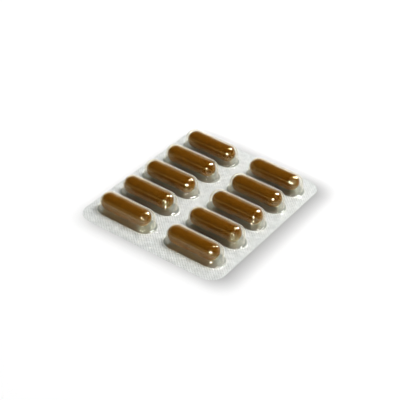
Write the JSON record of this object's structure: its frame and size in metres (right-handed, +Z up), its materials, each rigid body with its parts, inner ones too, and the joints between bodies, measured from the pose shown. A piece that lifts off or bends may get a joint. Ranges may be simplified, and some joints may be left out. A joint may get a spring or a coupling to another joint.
{
  "type": "blister pack of capsules",
  "caption": "Flat push-through blister pack: a clear formed film over foil, with round-ended pockets that each hold a clear hard capsule of brown powder.",
  "frame": {"origin": "middle of the foil's underside, on which the pack lies", "axes": "+X along the capsules, from the left column to the right one; +Y along the columns, from the front row to the back one; +Z up out of the foil, through the pockets"},
  "size_m": [0.069, 0.086, 0.0083],
  "materials": {
    "film": "clear formed plastic film, glossy, with a fine knurled seal on the flange",
    "foil": "bright hard aluminium foil, heat sealed",
    "capsule_shell": "clear, slightly amber hard capsule shell, glossy",
    "powder": "packed fine brown powder, matte"
  },
  "bodies": {
    "root": {"lidding_foil": "foil", "blister_film": "film", "capsule_1_cap": "capsule_shell", "capsule_2_cap": "capsule_shell", "capsule_3_cap": "capsule_shell", "capsule_4_cap": "capsule_shell", "capsule_5_cap": "capsule_shell", "capsule_6_cap": "capsule_shell", "capsule_7_cap": "capsule_shell", "capsule_8_cap": "capsule_shell", "capsule_9_cap": "capsule_shell", "capsule_10_cap": "capsule_shell", "capsule_1_body": "capsule_shell", "capsule_2_body": "capsule_shell", "capsule_3_body": "capsule_shell", "capsule_4_body": "capsule_shell", "capsule_5_body": "capsule_shell", "capsule_6_body": "capsule_shell", "capsule_7_body": "capsule_shell", "capsule_8_body": "capsule_shell", "capsule_9_body": "capsule_shell", "capsule_10_body": "capsule_shell", "capsule_1_fill": "powder", "capsule_2_fill": "powder", "capsule_3_fill": "powder", "capsule_4_fill": "powder", "capsule_5_fill": "powder", "capsule_6_fill": "powder", "capsule_7_fill": "powder", "capsule_8_fill": "powder", "capsule_9_fill": "powder", "capsule_10_fill": "powder"}
  },
  "joints": []
}
